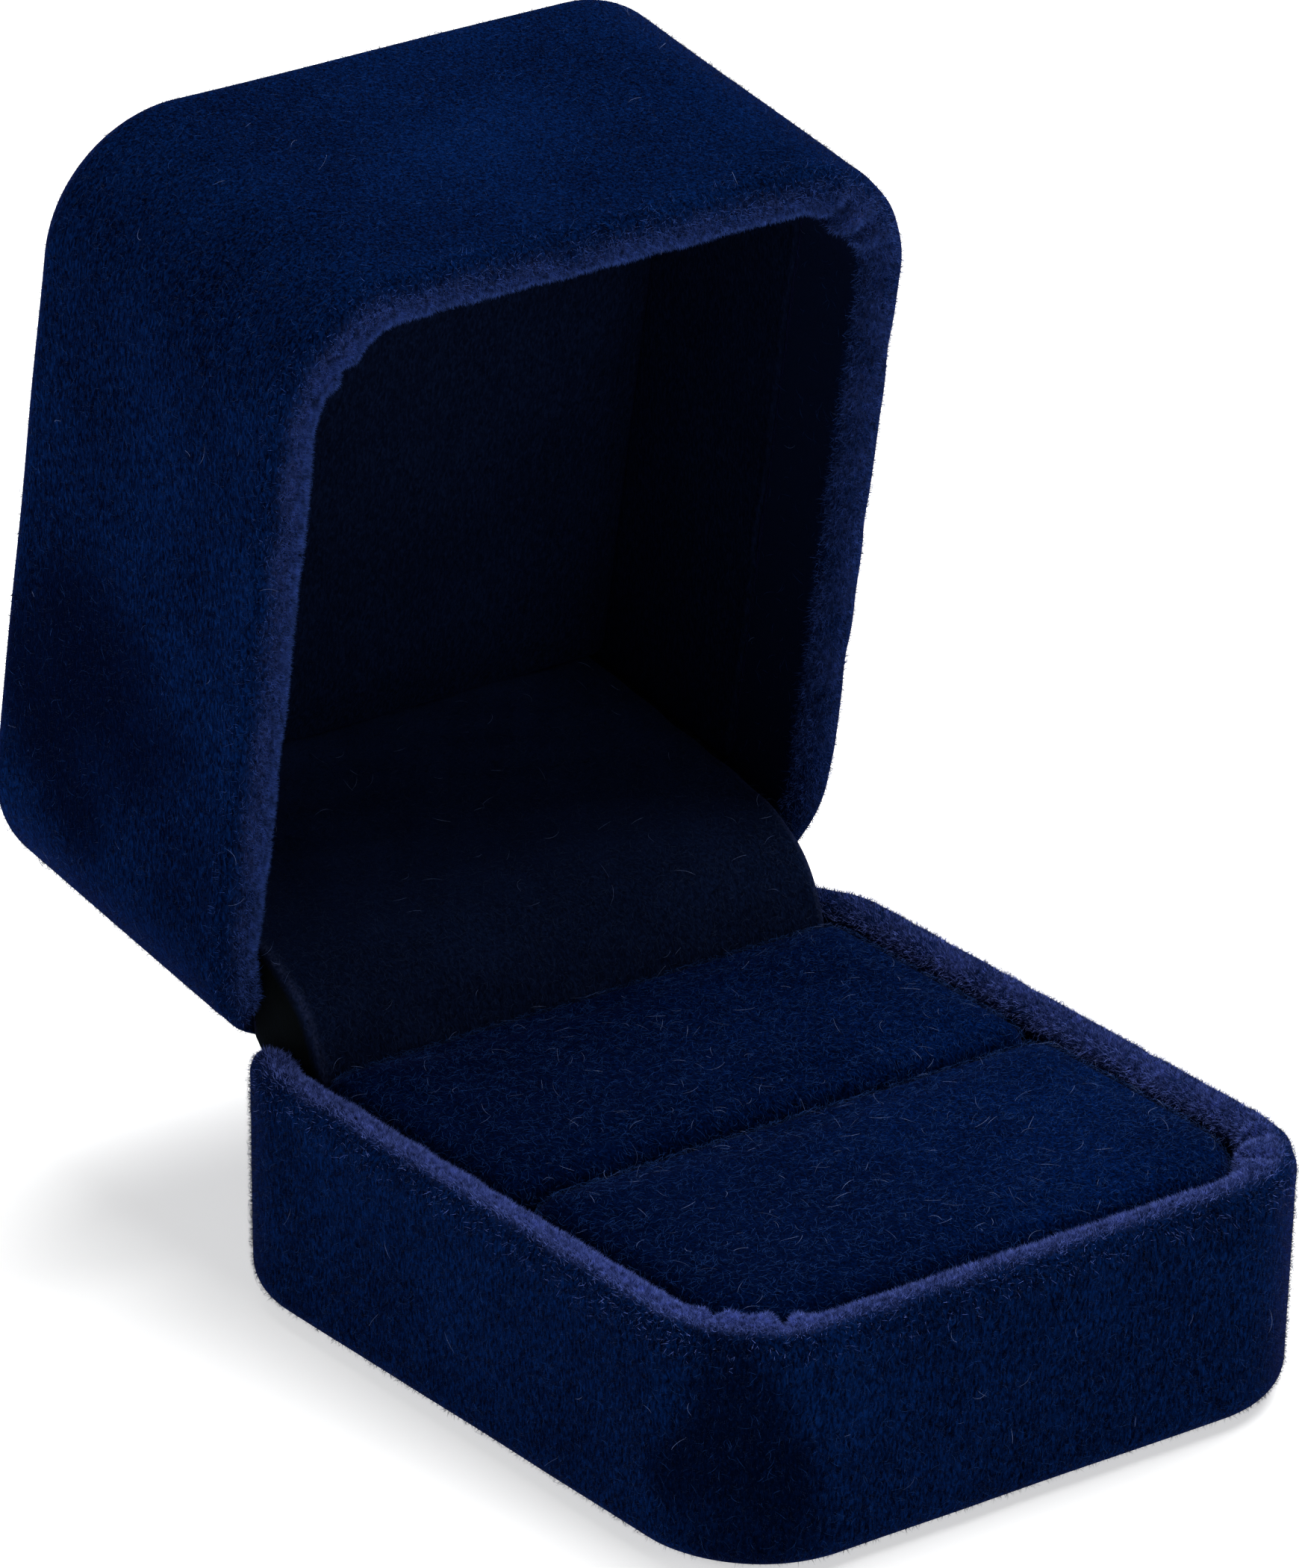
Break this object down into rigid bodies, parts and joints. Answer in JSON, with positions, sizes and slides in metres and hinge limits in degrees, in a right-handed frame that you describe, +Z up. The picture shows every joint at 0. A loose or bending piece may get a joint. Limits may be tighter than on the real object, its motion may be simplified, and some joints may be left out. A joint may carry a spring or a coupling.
{
  "type": "ring box",
  "caption": "Velvet-covered ring box standing open on its snap hinge, with two padded bars that grip a ring in the slot between them.",
  "frame": {"origin": "middle of the face that the box stands on", "axes": "+X to the right seen from the front, +Y to the hinge at the back, +Z up; the lid is open at rest"},
  "size_m": [0.051, 0.0836, 0.0762],
  "materials": {
    "outer_velvet": "short dense velvet pile",
    "pad_velvet": "short velvet pile",
    "lining_velvet": "short velvet pile",
    "shell_plastic": "moulded, matt",
    "card": "plain greyboard",
    "foot_card": "dark paper-faced board",
    "foam": "soft open-cell foam",
    "hinge_steel": "stamped, satin",
    "spring_steel": "hardened strip"
  },
  "bodies": {
    "base": {"base_shell": "shell_plastic", "base_velvet": "outer_velvet", "bottom_card": "foot_card", "insert_card": "card", "rear_pad_foam": "foam", "rear_pad_velvet": "pad_velvet", "front_pad_foam": "foam", "front_pad_velvet": "pad_velvet", "base_back_card": "card", "base_back_velvet": "lining_velvet", "hinge_base_leaf": "hinge_steel", "hinge_base_rivets": "hinge_steel", "hinge_pin": "hinge_steel"},
    "cover": {"cover_plate": "hinge_steel", "cover_plate_velvet": "lining_velvet", "snap_springs": "spring_steel"},
    "lid": {"lid_shell": "shell_plastic", "lid_velvet": "outer_velvet", "lid_side_liner": "lining_velvet", "crown_card": "card", "crown_foam": "foam", "crown_velvet": "lining_velvet", "lid_back_card": "card", "lid_back_velvet": "lining_velvet", "hinge_lid_leaf": "hinge_steel", "hinge_lid_rivets": "hinge_steel"}
  },
  "joints": [
    {"name": "lid_hinge", "type": "hinge", "parent": "base", "child": "lid", "pos_m": [0, 0.02608, 0.01747], "axis": [1, 0, 0], "range_deg": [0, 81]},
    {"name": "cover_hinge", "type": "hinge", "parent": "base", "child": "cover", "pos_m": [0, 0.02608, 0.01747], "axis": [1, 0, 0], "range_deg": [0, 40.5]}
  ],
  "couplings": [
    {"joint": "cover_hinge", "follows": "lid_hinge", "ratio": 0.5}
  ]
}
